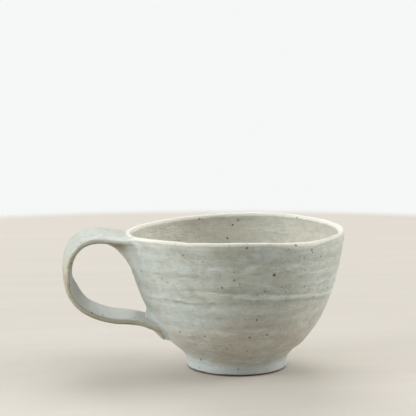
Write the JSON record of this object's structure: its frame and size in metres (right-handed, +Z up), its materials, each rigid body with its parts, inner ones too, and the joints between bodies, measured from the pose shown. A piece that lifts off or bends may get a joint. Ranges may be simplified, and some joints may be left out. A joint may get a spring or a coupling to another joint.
{
  "type": "soup mug",
  "caption": "Wide hand-thrown stoneware soup mug on a small turned foot, with a broad looped strap handle luted at the rim and wiped onto the lower wall.",
  "frame": {"origin": "centre of the foot's flat standing face, on the table", "axes": "+Z up along the foot's axis, the handle points along -X, +Y to the handle's side"},
  "size_m": [0.1613, 0.1256, 0.0812],
  "materials": {
    "wall_glaze": "satin speckled grey-green stoneware glaze, broken to cream at the rim and warm beige inside",
    "pooled_glaze": "thick bluish-white pooled glaze over a thin line of bare clay",
    "strap_glaze": "satin speckled cream-grey glaze, broken to olive brown along the edges"
  },
  "bodies": {
    "root": {"bowl": "wall_glaze", "foot_ring": "pooled_glaze", "handle_strap": "strap_glaze", "upper_luting_coil": "wall_glaze", "lower_luting_coil": "wall_glaze"}
  },
  "joints": []
}
